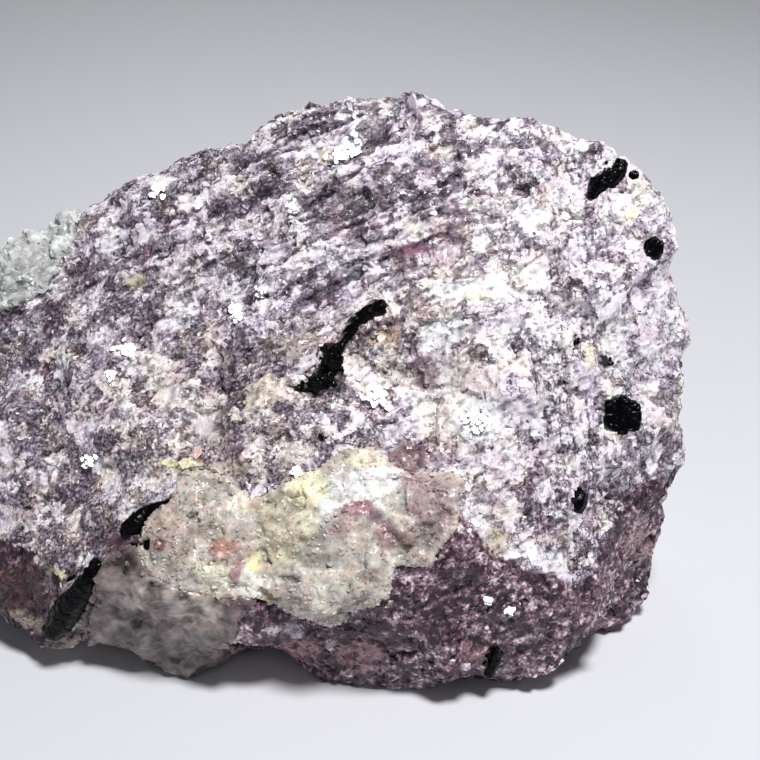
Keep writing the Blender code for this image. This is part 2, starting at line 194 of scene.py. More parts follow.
class Shader:
    """A material with a Principled shader, and short ways to add nodes to it."""

    def __init__(self, name):
        self.material = bpy.data.materials.new(name)
        self.material.use_nodes = True
        self.tree = self.material.node_tree
        self.main = self.tree.nodes["Principled BSDF"]
        place = self.add("ShaderNodeTexCoord").outputs["Object"]
        self.mm = self.vector("SCALE", place, scale=1 / MM)

    def add(self, kind, **settings):
        node = self.tree.nodes.new(kind)
        for key, value in settings.items():
            setattr(node, key, value)
        return node

    def put(self, value, socket):
        """Links a socket's output, or sets a plain value."""
        if isinstance(value, bpy.types.NodeSocket):
            self.tree.links.new(value, socket)
        elif isinstance(value, (tuple, list)) and len(socket.default_value) == 4 and len(value) == 3:
            socket.default_value = (*value, 1)
        else:
            socket.default_value = value

    def math(self, operation, a, b=0.0, c=0.0):
        node = self.add("ShaderNodeMath", operation=operation)
        for value, socket in zip((a, b, c), node.inputs):
            self.put(value, socket)
        return node.outputs[0]

    def vector(self, operation, a, b=(0, 0, 0), scale=1.0):
        node = self.add("ShaderNodeVectorMath", operation=operation)
        for value, socket in zip((a, b, None, scale), node.inputs):
            if value is not None:
                self.put(value, socket)
        return node.outputs[1 if operation in ("LENGTH", "DOT_PRODUCT") else 0]

    def mix(self, share, a, b, blend="MIX"):
        node = self.add("ShaderNodeMix", data_type="RGBA", blend_type=blend)
        self.put(share, node.inputs["Factor"])
        self.put(a, node.inputs[6])
        self.put(b, node.inputs[7])
        return node.outputs[2]

    def ramp(self, value, stops):
        node = self.add("ShaderNodeValToRGB")
        elements = node.color_ramp.elements
        while len(elements) < len(stops):
            elements.new(0.5)
        for element, (place, colour) in zip(elements, stops):
            element.position = place
            element.color = (*colour, 1)
        self.put(value, node.inputs[0])
        return node.outputs["Color"]

    def span(self, value, start, end, low=0.0, high=1.0):
        node = self.add("ShaderNodeMapRange", interpolation_type="SMOOTHSTEP")
        for given, socket in zip((value, start, end, low, high), node.inputs):
            self.put(given, socket)
        return node.outputs[0]

    def noise(self, scale, place=None, detail=2.0, distortion=0.0, output="Fac"):
        node = self.add("ShaderNodeTexNoise")
        self.put(place or self.mm, node.inputs["Vector"])
        self.put(scale, node.inputs["Scale"])
        self.put(detail, node.inputs["Detail"])
        self.put(distortion, node.inputs["Distortion"])
        return node.outputs[output]

    def centred(self, value):
        return self.math("SUBTRACT", value, 0.5)

    def total(self, start, *shares):
        """The start value with a share of each part added."""
        for part, share in shares:
            start = self.math("MULTIPLY_ADD", part, share, start)
        return start

    def cells(self, scale, place=None, feature="F1"):
        node = self.add("ShaderNodeTexVoronoi", feature=feature)
        self.put(place or self.mm, node.inputs["Vector"])
        self.put(scale, node.inputs["Scale"])
        return node

    def creases(self, scale, place, width, where):
        """Lines along the borders of the cells, where a mask lets them show."""
        edge = self.cells(scale, place, "DISTANCE_TO_EDGE").outputs["Distance"]
        return self.math("MULTIPLY", self.span(edge, width, 0.0), where)

    def moved(self, away):
        """Coordinates from elsewhere, for another pattern."""
        return self.vector("ADD", self.mm, away)

    def ragged(self, scale, detail, reach):
        """Coordinates shifted about by noise, so that the outlines of a pattern come out ragged."""
        shift = self.vector("SUBTRACT", self.noise(scale, detail=detail, output="Color"), (0.5, 0.5, 0.5))
        return self.vector("ADD", self.mm, self.vector("SCALE", shift, scale=reach))

    def parts(self, colour):
        node = self.add("ShaderNodeSeparateColor")
        self.put(colour, node.inputs[0])
        return node.outputs

    def attribute(self, name, output="Fac"):
        return self.add("ShaderNodeAttribute", attribute_name=name).outputs[output]

    def tilted(self, random_colour, amount):
        """The surface's normal, turned by a random colour."""
        normal = self.add("ShaderNodeNewGeometry").outputs["Normal"]
        turn = self.vector("SCALE", self.vector("SUBTRACT", random_colour, (0.5, 0.5, 0.5)), scale=amount)
        return self.vector("NORMALIZE", self.vector("ADD", normal, turn))

    def shade_in_hollows(self, colour, share):
        """The colour with painted shade: darker where the surface lies below its neighbours."""
        return self.mix(self.math("MULTIPLY", self.attribute("hollow_shade"), share), colour, INK, "MULTIPLY")

    def let_light_in(self, depth):
        """Makes the surface milky to a depth in millimetres."""
        inputs = self.main.inputs
        inputs["Subsurface Weight"].default_value = 0.25
        inputs["Subsurface Radius"].default_value = (1, 0.9, 0.8)
        inputs["Subsurface Scale"].default_value = depth * MM

    def bump(self, height, depth, normal=None):
        node = self.add("ShaderNodeBump")
        self.put(1.0, node.inputs["Strength"])
        self.put(depth * MM, node.inputs["Distance"])
        self.put(height, node.inputs["Height"])
        if normal:
            self.put(normal, node.inputs["Normal"])
        return node.outputs["Normal"]

    def finish(self, **inputs):
        for name, value in inputs.items():
            self.put(value, self.main.inputs[name.replace("_", " ").title().replace("Ior", "IOR")])
        return self.material


# Cells of the patterns, as a number per millimetre
PATCHES = 0.36
NUGGETS = 0.95
FACETS = 0.62
GRAINS = 2.6

LILAC = (
    (0, (0.045, 0.041, 0.048)), (0.25, (0.195, 0.178, 0.21)), (0.5, (0.465, 0.43, 0.485)),
    (0.75, (0.76, 0.715, 0.775)), (1, (0.97, 0.95, 0.975)),
)
BEIGE = (
    (0, (0.07, 0.05, 0.06)), (0.25, (0.26, 0.20, 0.21)), (0.5, (0.52, 0.44, 0.43)),
    (0.75, (0.78, 0.71, 0.69)), (1, (0.96, 0.93, 0.90)),
)
PURPLE = (
    (0, (0.035, 0.026, 0.036)), (0.25, (0.14, 0.105, 0.14)), (0.5, (0.345, 0.28, 0.35)),
    (0.75, (0.63, 0.555, 0.635)), (1, (0.90, 0.85, 0.90)),
)
# Dark plum of the lower flank: the rock's own colour, darkened in part as painted shade
DEEP_PLUM = (
    (0, (0.04, 0.02, 0.03)), (0.3, (0.14, 0.075, 0.105)), (0.55, (0.29, 0.175, 0.23)),
    (0.8, (0.50, 0.36, 0.42)), (1, (0.85, 0.76, 0.80)),
)
# Violet, lilac, grey, beige and rose
PATCH_TINTS = (
    (0, (0.93, 0.84, 0.98)), (0.3, (0.97, 0.95, 0.98)), (0.55, (1.0, 0.99, 0.98)),
    (0.75, (1.0, 0.95, 0.89)), (0.9, (0.98, 0.84, 0.89)),
)


def stretched(shader, direction, along, across, place=None):
    """Coordinates that draw a pattern out along a direction."""
    place = place or shader.mm
    direction = tuple(Vector(direction).normalized())
    part = shader.vector("DOT_PRODUCT", place, direction)
    part = shader.math("MULTIPLY", part, 1 / along - 1 / across)
    shift = shader.vector("SCALE", direction, scale=part)
    return shader.vector("ADD", shader.vector("SCALE", place, scale=1 / across), shift)


def streaks_in(shader):
    """Fine streaks of the rock, where the masks kept with its points let them show."""
    streak = 0.0
    for direction, along, across, mask in STREAKS:
        drawn = shader.centred(shader.noise(1.0, stretched(shader, direction, along, across), 3))
        streak = shader.math("MULTIPLY_ADD", drawn, shader.attribute(mask), streak)
    return streak


def rock_colour(shader, own):
    """The lepidolite's colour at a place, around the lightness of the grain or plate that is there.

    Pale patches of a few millimetres, plain but for their tint, lie among speckled purple and charcoal ones.
    """
    centred = shader.centred
    total = shader.total
    soft = total(1.14, (shader.attribute("rising"), -0.7))
    own = shader.math("MULTIPLY", own, soft)
    speckle = shader.math("MULTIPLY", centred(shader.noise(2.7, detail=2)), soft)
    medium = centred(shader.noise(0.95, detail=3))
    streak = streaks_in(shader)

    # Patches of about three millimetres and nuggets of about one, each with its own lightness and tint
    ragged = shader.ragged(0.6, 5, 4.0)
    patch = shader.parts(shader.cells(PATCHES, ragged).outputs["Color"])
    nugget = shader.parts(shader.cells(NUGGETS, ragged).outputs["Color"])
    crease = shader.creases(NUGGETS, ragged, 0.13, shader.span(patch[1], 0.3, 0.8))
    shade = total(shader.attribute("shade"), (centred(patch[0]), 0.34), (centred(nugget[0]), 0.22))
    shade = total(shade, (crease, -0.24))
    streaked = total(shade, (streak, 1.0))

    patchy = total(shader.noise(0.33, detail=4), (medium, 0.5), (shade, 0.7), (streak, 0.6))
    pale = shader.span(patchy, 0.42, 0.57)
    pale_value = total(0.81, (medium, 0.6), (speckle, 0.7), (own, 0.18), (streaked, 0.7))
    speckled_value = total(0.465, (speckle, 1.35), (own, 0.30), (streaked, 1.0))
    warm_patch = shader.math("ADD", shader.noise(0.30, detail=3), shader.attribute("beige"))
    warm = shader.span(warm_patch, 0.47, 0.62)
    tinted = shader.mix(warm, shader.ramp(pale_value, LILAC), shader.ramp(pale_value, BEIGE))
    grey = shader.mix(warm, shader.ramp(speckled_value, LILAC), shader.ramp(speckled_value, BEIGE))
    purple = shader.span(shader.noise(0.4, shader.moved((37, 11, 5)), 3), 0.40, 0.60)
    speckled = shader.mix(purple, grey, shader.ramp(speckled_value, PURPLE))
    colour = shader.mix(pale, speckled, tinted)
    colour = shader.mix(0.75, colour, shader.ramp(patch[2], PATCH_TINTS), "MULTIPLY")

    # The plum of the lower flank, partly painted shade
    plum_value = total(0.245, (own, 0.30), (pale, 0.22), (speckle, 1.6), (medium, 2.6), (shade, 1.0))
    colour = shader.mix(shader.attribute("plum"), colour, shader.ramp(plum_value, DEEP_PLUM))

    # Stains and painted light, with borders broken up by the grain
    cover = total(1.0, (own, 0.4), (speckle, 1.3), (medium, 1.3))
    cover = shader.math("MULTIPLY", cover, shader.attribute("stain_and_painted_light", "Alpha"))
    lightness = shader.span(pale_value, 0.45, 0.85, 0.72, 1.06)
    spot_colour = shader.vector("SCALE", shader.attribute("stain_and_painted_light", "Color"), scale=lightness)
    return shader.mix(shader.span(cover, 0.2, 0.75), colour, spot_colour)


def mass_material():
    """Lepidolite: mica grains of a third of a millimetre, each with its own colour, tilt and gloss."""
    shader = Shader("lepidolite_sugar")
    grain = shader.cells(GRAINS)
    random = shader.parts(grain.outputs["Color"])
    # Painted shade in the hollows
    colour = shader.shade_in_hollows(rock_colour(shader, shader.centred(random[0])), 0.6)
    normal = shader.tilted(grain.outputs["Color"], 0.32)
    normal = shader.bump(shader.noise(3.0, detail=3), 0.04, normal)
    gloss = shader.span(random[2], 0.0, 1.0, 0.62, 0.22)
    return shader.finish(base_color=colour, roughness=gloss, normal=normal, specular_ior_level=0.5)


def plate_material():
    """Single mica plates: the tint of each is its own, and their faces shine."""
    shader = Shader("mica_plates")
    colour = rock_colour(shader, shader.attribute("tint"))
    normal = shader.bump(shader.noise(2.0, detail=2), 0.05)
    return shader.finish(base_color=colour, roughness=0.32, normal=normal, specular_ior_level=0.5)


def flash_material():
    """Mica plates that shine most: their white is partly the mica's pale tone and partly painted highlight.
    """
    shader = Shader("mica_flash")
    return shader.finish(base_color=(0.97, 0.96, 0.98), roughness=0.25, specular_ior_level=0.8)


# Rosy and greenish clouds of the granular quartz: scale, place, noise from and to, share and tint
CLOUDS = (
    (0.7, (9, 3, 7), 0.48, 0.60, 0.7, (1.0, 0.83, 0.80)),
    (0.6, (3, 17, 7), 0.50, 0.64, 0.6, (0.93, 0.97, 0.84)),
)


def granular_material():
    """Granular quartz and feldspar, in the tint kept with its points, specked with dark grains."""
    shader = Shader("granular_quartz")
    centred = shader.centred
    grain = shader.cells(GRAINS)
    random = shader.parts(grain.outputs["Color"])
    ragged = shader.ragged(0.7, 4, 3.0)
    facet = shader.parts(shader.cells(FACETS, ragged).outputs["Color"])
    crease = shader.creases(FACETS, ragged, 0.10, shader.span(facet[1], 0.4, 0.9))
    cloud = centred(shader.noise(0.6, detail=5))
    fine = centred(shader.noise(2.4, detail=4, distortion=1.2))
    value = shader.total(1.03, (centred(random[0]), 0.10), (centred(facet[0]), 0.2), (crease, -0.18))
    value = shader.total(value, (cloud, 1.0), (fine, 0.5))
    colour = shader.vector("SCALE", shader.attribute("tint", "Color"), scale=value)
    for scale, away, start, end, share, tint in CLOUDS:
        cover = shader.span(shader.noise(scale, shader.moved(away), 4), start, end)
        colour = shader.mix(shader.math("MULTIPLY", cover, share), colour, tint, "MULTIPLY")
    clumps = centred(shader.noise(0.9, detail=3))
    specks = shader.total(shader.noise(2.6, detail=4), (clumps, 1.0), (shader.attribute("specked"), 0.16))
    colour = shader.mix(shader.span(specks, 0.64, 0.99), colour, (0.12, 0.07, 0.07))
    # Painted shade in the hollows
    colour = shader.shade_in_hollows(colour, 0.3)
    shader.let_light_in(0.8)
    normal = shader.tilted(grain.outputs["Color"], 0.3)
    gloss = shader.span(facet[2], 0.0, 1.0, 0.5, 0.25)
    return shader.finish(base_color=colour, roughness=gloss, normal=normal, specular_ior_level=0.55)


def glassy_material(name, direction, wispy, cloudy, roughness):
    """Massive quartz: cloudy, with curved wisps drawn out along a direction."""
    shader = Shader(name)
    bent = shader.ragged(0.2, 2, 7.0)
    wisps = shader.centred(shader.noise(1.0, stretched(shader, direction, 4.0, 0.7, bent), 4))
    cloud = shader.centred(shader.noise(0.4, detail=5))
    value = shader.total(1.0, (cloud, cloudy), (wisps, wispy))
    colour = shader.vector("SCALE", shader.attribute("tint", "Color"), scale=value)
    # Painted shade in the hollows
    colour = shader.shade_in_hollows(colour, 0.4)
    shader.let_light_in(1.0)
    normal = shader.bump(wisps, 0.12)
    return shader.finish(base_color=colour, roughness=roughness, normal=normal, specular_ior_level=0.5)


def tourmaline_material():
    """Black tourmaline: glossy, with fine flutes and dusty broken patches."""
    shader = Shader("black_tourmaline")
    dust = shader.span(shader.noise(1.6, detail=4), 0.55, 0.75)
    colour = shader.mix(dust, (0.001, 0.001, 0.0015), (0.008, 0.007, 0.009))
    normal = shader.bump(shader.noise(2.4, detail=2), 0.05)
    roughness = shader.total(0.22, (dust, 0.3))
    return shader.finish(base_color=colour, roughness=roughness, normal=normal, specular_ior_level=0.12)


def floor_material():
    """Pale, and darker towards the wall."""
    shader = Shader("pale_floor")
    reach = shader.vector("LENGTH", shader.vector("MULTIPLY", shader.mm, (1, 1, 0)))
    colour = shader.vector("SCALE", (0.71, 0.72, 0.755), scale=shader.span(reach, 90, 400, 1.0, 0.58))
    return shader.finish(base_color=colour, roughness=0.6, specular_ior_level=0.2)


# Where things lie on the front, by their pixels in the photograph

# The plum-coloured lower flank and the lower left end, their colour darkened partly as painted shade
LOWER_FLANK = (
    (236, 600), (262, 598), (300, 612), (345, 620), (380, 600), (400, 570), (440, 548), (452, 505),
    (500, 545), (540, 575), (575, 588), (600, 560), (612, 515), (640, 485), (700, 470), (700, 760),
    (236, 760),
)
LEFT_FOOT = ((-90, 520), (30, 545), (50, 600), (50, 760), (-90, 760))

# How the streaks run: rising to the right on the top and left, and upright on the right
RISE = math.radians(22)
RIGHT = np.array((1, 0, 0))
RISING_STREAKS = math.cos(RISE) * RIGHT + math.sin(RISE) * UP
UPRIGHT_STREAKS = UP - 0.12 * RIGHT
# Direction, length and width of the fine streaks, and the mask that lets them show
STREAKS = ((RISING_STREAKS, 7, 0.8, "rising"), (UPRIGHT_STREAKS, 5, 0.5, "upright"))

# Broad lighter, darker and warmer areas, partly the rock's own tone and partly painted light and shade:
# pixel, half sizes, lightness and warmth
AREAS = (
    ((610, 290), (9, 20), 0.10, -0.06), ((520, 200), (14, 8), 0.03, 0.0), ((470, 290), (9, 4), 0.12, 0.08),
    ((530, 430), (6, 13), 0.02, -0.05), ((565, 425), (4, 7), -0.08, -0.14),
    # Painted light: the lift at (470, 410), over a hollow of the relief
    ((640, 350), (4, 5), -0.04, -0.10), ((470, 410), (5, 5), 0.20, 0.05), ((640, 470), (5, 4), -0.03, -0.1),
    ((180, 250), (20, 9), -0.02, -0.10), ((390, 190), (9, 4), -0.10, -0.1),
    ((400, 120), (12, 4), 0.03, -0.05), ((250, 395), (9, 7), -0.08, 0.24), ((430, 350), (7, 6), 0.0, 0.14),
    ((400, 325), (5, 3.5), -0.02, 0.2), ((180, 400), (10, 7), 0.0, 0.10), ((230, 460), (9, 4), -0.03, 0.22),
    ((70, 440), (12, 12), -0.06, 0.02), ((100, 530), (8, 4), -0.02, 0.10), ((470, 500), (4, 5), 0.08, 0.1),
    ((430, 380), (8, 6), 0.12, 0.05), ((250, 250), (10, 5), 0.06, 0.0), ((380, 110), (8, 3), 0.08, 0.0),
    # Painted shade in part: the darkening at (20, 595), (640, 560) and (450, 620), on the lower flank and
    # left end
    ((20, 595), (8, 7), -0.30, 0.0), ((640, 560), (4, 7), -0.10, 0.0), ((450, 620), (12, 6), -0.10, 0.0),
    ((150, 300), (12, 6), -0.05, -0.02), ((380, 100), (14, 5), -0.05, 0.0),
    # Painted shade in part: the darkening at (350, 640), on the lower flank
    ((350, 640), (9, 4), -0.10, 0.0), ((300, 290), (4, 2.6), -0.14, -0.15),
    ((575, 290), (3, 4.5), -0.16, -0.15), ((130, 540), (4, 2.6), -0.22, -0.1),
    ((30, 340), (5, 7), -0.08, 0.0), ((430, 200), (7, 2.4), -0.10, 0.0),
)

# Spots on the block, stains with painted highlights and painted shade among them: pixel, half sizes, turn in
# degrees, colour and strength
MASS_STAINS_AND_PAINTED_LIGHT = (
    # Painted highlight: the white spot at (478, 418), where plates flash
    ((478, 418), (2.6, 3.0), 0, WHITE, 1.0), ((462, 288), (4.6, 0.6), 8, WHITE, 0.9),
    ((482, 296), (2.6, 0.7), 4, (0.85, 0.84, 0.70), 0.9), ((440, 335), (3.0, 1.8), 20, WHITE, 0.7),
    ((590, 355), (1.0, 1.2), 0, CREAM, 0.9), ((630, 215), (1.1, 0.8), 0, CREAM, 0.9),
    ((330, 155), (1.5, 0.6), 20, TAN, 0.8), ((135, 280), (1.4, 0.7), 10, TAN, 0.9),
    ((263, 394), (2.8, 2.0), 30, (0.70, 0.61, 0.53), 0.85),
    ((215, 432), (2.4, 1.4), 15, (0.50, 0.45, 0.43), 0.5),
    ((262, 382), (1.2, 0.8), 20, (0.88, 0.82, 0.74), 0.8),
    ((268, 402), (0.2, 0.5), 10, (0.25, 0.12, 0.10), 0.9), ((52, 571), (0.9, 0.9), 0, YELLOW, 1.0),
    ((122, 546), (2.0, 1.5), 10, (0.13, 0.07, 0.10), 0.8), ((178, 462), (2.6, 0.7), -8, YELLOW, 0.9),
    ((197, 457), (0.25, 1.0), 20, RUST, 0.9), ((410, 458), (3.0, 1.8), 0, (0.25, 0.14, 0.15), 0.6),
    ((424, 370), (2.0, 2.2), 0, (0.19, 0.125, 0.145), 0.65),
    ((415, 250), (1.6, 0.9), 0, (0.28, 0.13, 0.20), 0.7),
    ((445, 255), (2.2, 1.4), 0, (0.78, 0.62, 0.68), 0.6),
    ((385, 337), (2.2, 1.3), 20, (0.70, 0.56, 0.44), 0.6),
    ((397, 333), (0.5, 0.4), 0, (0.28, 0.19, 0.15), 0.9),
    # Painted highlight: the white spot at (344, 152), where plates flash
    ((300, 345), (2.4, 1.8), 30, (0.60, 0.50, 0.43), 0.5), ((344, 152), (2.4, 0.9), 15, WHITE, 0.9),
    ((98, 600), (1.6, 4.6), -28, (0.24, 0.20, 0.195), 1.0),
    ((70, 645), (3.4, 1.0), 0, (0.27, 0.22, 0.21), 0.9),
    ((22, 620), (3.0, 0.9), -35, (0.34, 0.27, 0.24), 0.7),
    # Painted shade in part: the dark spot at (20, 590), on the lower left end
    ((20, 590), (5.0, 3.6), 0, (0.10, 0.05, 0.055), 0.5), ((500, 540), (1.6, 1.6), 0, TAN, 0.6),
    ((230, 470), (2.4, 1.6), 0, TAN, 0.5), ((300, 650), (2.6, 1.2), 0, ROSE, 0.6),
    ((285, 630), (2.6, 1.2), 0, (0.60, 0.54, 0.60), 0.7), ((360, 655), (3.4, 2.0), 0, ROSE, 0.6),
    ((640, 540), (1.8, 3.4), 0, PINK, 0.5), ((480, 655), (1.8, 1.4), 0, ROSE, 0.5),
    ((478, 187), (2.8, 0.22), 26, INK, 0.75), ((538, 178), (2.8, 0.2), 27, INK, 0.7),
    ((455, 238), (1.2, 0.9), 0, PLUM, 0.5), ((470, 270), (2.0, 0.4), 10, (0.2, 0.2, 0.18), 0.6),
    ((320, 437), (0.5, 0.6), 0, INK, 1.0), ((575, 342), (0.9, 0.5), 20, INK, 1.0),
    ((611, 360), (0.7, 0.7), 0, INK, 1.0), ((150, 272), (3.0, 0.3), 8, INK, 0.5),
    ((250, 245), (2.2, 0.25), 15, INK, 0.5), ((170, 285), (2.6, 0.25), 12, INK, 0.5),
    ((400, 215), (4.0, 0.3), 22, INK, 0.5), ((380, 235), (3.0, 0.25), 20, INK, 0.45),
    ((215, 385), (0.6, 1.0), 0, INK, 0.4),
)


def inside_outline(px, py, outline):
    """Whether each pixel lies inside a closed outline."""
    inside = np.zeros(len(px), bool)
    for (x0, y0), (x1, y1) in zip(outline, outline[1:] + outline[:1]):
        crosses = (y0 > py) != (y1 > py)
        with np.errstate(divide="ignore", invalid="ignore"):
            at = x0 + (py - y0) * (x1 - x0) / (y1 - y0)
        inside ^= crosses & (px < at)
    return inside


def from_pixel(points, px, py, spot):
    """How many millimetres each point lies to the right of and above a pixel."""
    near = DISTANCE - (points - TARGET) @ OUT
    return (px - spot[0]) * near / FOCAL, (spot[1] - py) * near / FOCAL


def spots_at(points, facing, px, py, marks):
    """The colour and cover of the spots at each point of the front."""
    colours = np.zeros((len(points), 4))
    ragged = 0.3 * noise_at(points, 0.9, 12.0, 2)
    for pixel, (along, across), turn, colour, strength in marks:
        dx, dy = from_pixel(points, px, py, pixel)
        c, s = math.cos(math.radians(turn)), math.sin(math.radians(turn))
        reach = np.hypot((dx * c + dy * s) / along, (dy * c - dx * s) / across) + ragged
        cover = strength * smooth_step(-reach, -1.35, -0.65) * facing
        stronger = cover > colours[:, 3]
        colours[stronger, :3] = colour
        colours[stronger, 3] = cover[stronger]
    return colours


def mass_zones(points, normals):
    """The shade, the plum share and the spots of each point of the block, with painted light and shade among
    them.
    """
    px, py = pixels_of(points)
    px = px + 7 * noise_at(points, 3.0, 4.0, 2)
    py = py + 7 * noise_at(points, 3.0, 9.0, 2)
    facing = smooth_step(normals @ OUT, -0.25, 0.15)
    plum = np.where(inside_outline(px, py, LOWER_FLANK) | inside_outline(px, py, LEFT_FOOT), 1.0, 0.0)
    hidden_plum = smooth_step(noise_at(points, 18, 2.0, 2), 0.1, 0.5)
    plum = facing * plum + (1 - facing) * hidden_plum * 0.7
    right = smooth_step(px, 500, 545) * smooth_step(-px, -630, -590) * smooth_step(-py, -620, -560)
    left_top = smooth_step(-px, -560, -430) * smooth_step(-py, -400, -250)
    shade = -0.16 * left_top * facing * smooth_step(streaks_at(points), 0.15, 0.6)
    beige = np.zeros(len(points))
    for pixel, (wide, high), lightness, warmth in AREAS:
        dx, dy = from_pixel(points, px, py, pixel)
        share = facing * smooth_step(-np.hypot(dx / wide, dy / high), -1.5, -0.3)
        shade += share * lightness
        beige += share * warmth
    return {
        "shade": shade,
        "beige": beige,
        "plum": plum,
        "stain_and_painted_light": spots_at(points, facing, px, py, MASS_STAINS_AND_PAINTED_LIGHT),
        "rising": 0.2 + 0.8 * left_top * facing * (0.35 + 0.65 * smooth_step(px, 200, 330)),
        "upright": right * facing,
    }


def streaks_at(points):
    """Long bands along the streaks of the top, from about -1 to 1."""
    along = points[:, 0] * math.cos(RISE) + points @ UP * math.sin(RISE)
    across = points @ UP * math.cos(RISE) - points[:, 0] * math.sin(RISE)
    drawn_out = np.stack((along / 7, across / 1.3, points @ OUT / 7), 1)
    return 1.6 * noise_at(drawn_out, 1.0, 1.5, 2)


def above_sole(points):
    """0 for points on the flat sole, and 1 a little above it."""
    return smooth_step(points[:, 2], 0.05, 0.6)


def distance_to_others(points, node, most):
    """How far each point is from the nearest other solid of the CAD model, up to a limit."""
    distances = np.full(len(points), float(most))
    for name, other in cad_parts.items():
        if name == node:
            continue
        mesh = other.data
        mesh.calc_loop_triangles()
        corners = [tuple(t.vertices) for t in mesh.loop_triangles]
        theirs = points_of(mesh)
        tree = BVHTree.FromPolygons(theirs.tolist(), corners, all_triangles=True)
        low, high = theirs.min(0) - most, theirs.max(0) + most
        for k in np.flatnonzero(((points > low) & (points < high)).all(1)):
            found = tree.find_nearest(Vector(points[k]), most)[3]
            if found is not None:
                distances[k] = min(distances[k], found)
    return distances


def hollows_of(mesh, normals):
    """How far each point lies below its neighbours."""
    points = points_of(mesh)
    edges = np.empty(len(mesh.edges) * 2, np.int32)
    mesh.edges.foreach_get("vertices", edges)
    a, b = edges.reshape(-1, 2).T
    here, there = np.concatenate((a, b)), np.concatenate((b, a))
    total = np.stack([np.bincount(here, points[there, k], len(points)) for k in range(3)], 1)
    counts = np.maximum(np.bincount(here, minlength=len(points)), 1)
    return ((total / counts[:, None] - points) * normals).sum(1)


def build_mass():
    """The block of mica: facets, grains, steps along the streaks, and a rim at the other minerals."""
    mass = fine_copy("lepidolite_mass", "lepidolite_surface", MASS_FACES)
    mesh = mass.data
    points = points_of(mesh)
    normals = normals_of(mesh)
    zones = mass_zones(points, normals)
    px, py = pixels_of(points)
    facing = smooth_step(normals @ OUT, 0.0, 0.4)
    on_top = facing * smooth_step(-px, -500, -330) * smooth_step(-py, -400, -250)
    grain = 0.12 * cells_at(points, 1.5, 3.0) + 0.07 * noise_at(points, 0.9, 5.0)
    broad = 0.20 * cells_at(points, 3.6, 8.0)
    rise = grain + broad - 0.45 * on_top * smooth_step(streaks_at(points), 0.1, 0.7)
    # Beside the other solids it rises to close the gap, and the sole stays flat
    rise += 0.45 * smooth_step(-distance_to_others(points, "lepidolite_mass", 1.5), -1.0, -0.4)
    put_points(mesh, points + normals * (rise * above_sole(points))[:, None])
    for name, values in zones.items():
        set_attribute(mesh, name, values)
    # Painted shade: how far each point lies below its neighbours darkens it
    set_attribute(mesh, "hollow_shade", smooth_step(hollows_of(mesh, normals), 0.03, 0.16))
    mesh.materials.clear()
    mesh.materials.append(mass_material())
    mesh.shade_flat()
    return mass


class Ground:
    """A finished surface to lay small things on."""

    def __init__(self, obj):
        mesh = obj.data
        mesh.calc_loop_triangles()
        self.points = points_of(mesh)
        corners = np.empty(len(mesh.loop_triangles) * 3, np.int32)
        mesh.loop_triangles.foreach_get("vertices", corners)
        self.corners = corners.reshape(-1, 3)
        a, b, c = (self.points[self.corners[:, i]] for i in range(3))
        cross = np.cross(b - a, c - a)
        self.areas = np.linalg.norm(cross, axis=1) / 2
        self.normals = normals_of(mesh)
        self.tree = BVHTree.FromPolygons(self.points.tolist(), self.corners.tolist(), all_triangles=True)
        self.mesh = mesh

    def at_pixel(self, px, py):
        """The place and the normal where the pixel's ray meets the surface."""
        place, normal, _, _ = self.tree.ray_cast(Vector(EYE), Vector(ray_through(px, py)))
        return np.array(place), np.array(normal)

    def above_floor(self):
        """The weight of each face: none down at the floor."""
        heights = self.points[self.corners][:, :, 2].mean(1)
        return smooth_step(heights, 0.4, 1.2)

    def along_border(self, node):
        """The weight of each face: full beside the other solids."""
        near = smooth_step(-distance_to_others(self.points, node, 1.2), -1.1, -0.4)
        return near[self.corners].mean(1)

    def random_places(self, count, rng, weight):
        """Points on the faces, with the number of the nearest corner of each."""
        share = self.areas * weight
        faces = rng.choice(len(self.areas), count, p=share / share.sum())
        r, s = np.sqrt(rng.random(count)), rng.random(count)
        blend = np.stack((1 - r, r * (1 - s), r * s), 1)
        corners = self.corners[faces]
        places = (self.points[corners] * blend[:, :, None]).sum(1)
        return places, corners[np.arange(count), blend.argmax(1)]

    def attribute(self, name, rows):
        """The kept values at the numbered points."""
        kept = self.mesh.attributes[name]
        width = 4 if kept.data_type == "FLOAT_COLOR" else 1
        values = np.empty(len(kept.data) * width, np.float32)
        kept.data.foreach_get("color" if width == 4 else "value", values)
        return values.reshape(-1, width)[rows].squeeze()


def unit(vectors):
    return vectors / np.linalg.norm(vectors, axis=-1, keepdims=True)


# Corners in the outline of a plate and of a splinter
PLATE_SIDES = 5
CHIP_SIDES = 6


def per_corner(values):
    """One value for each plate, repeated for all the points of its two faces."""
    return np.repeat(values, 2 * PLATE_SIDES, axis=0)


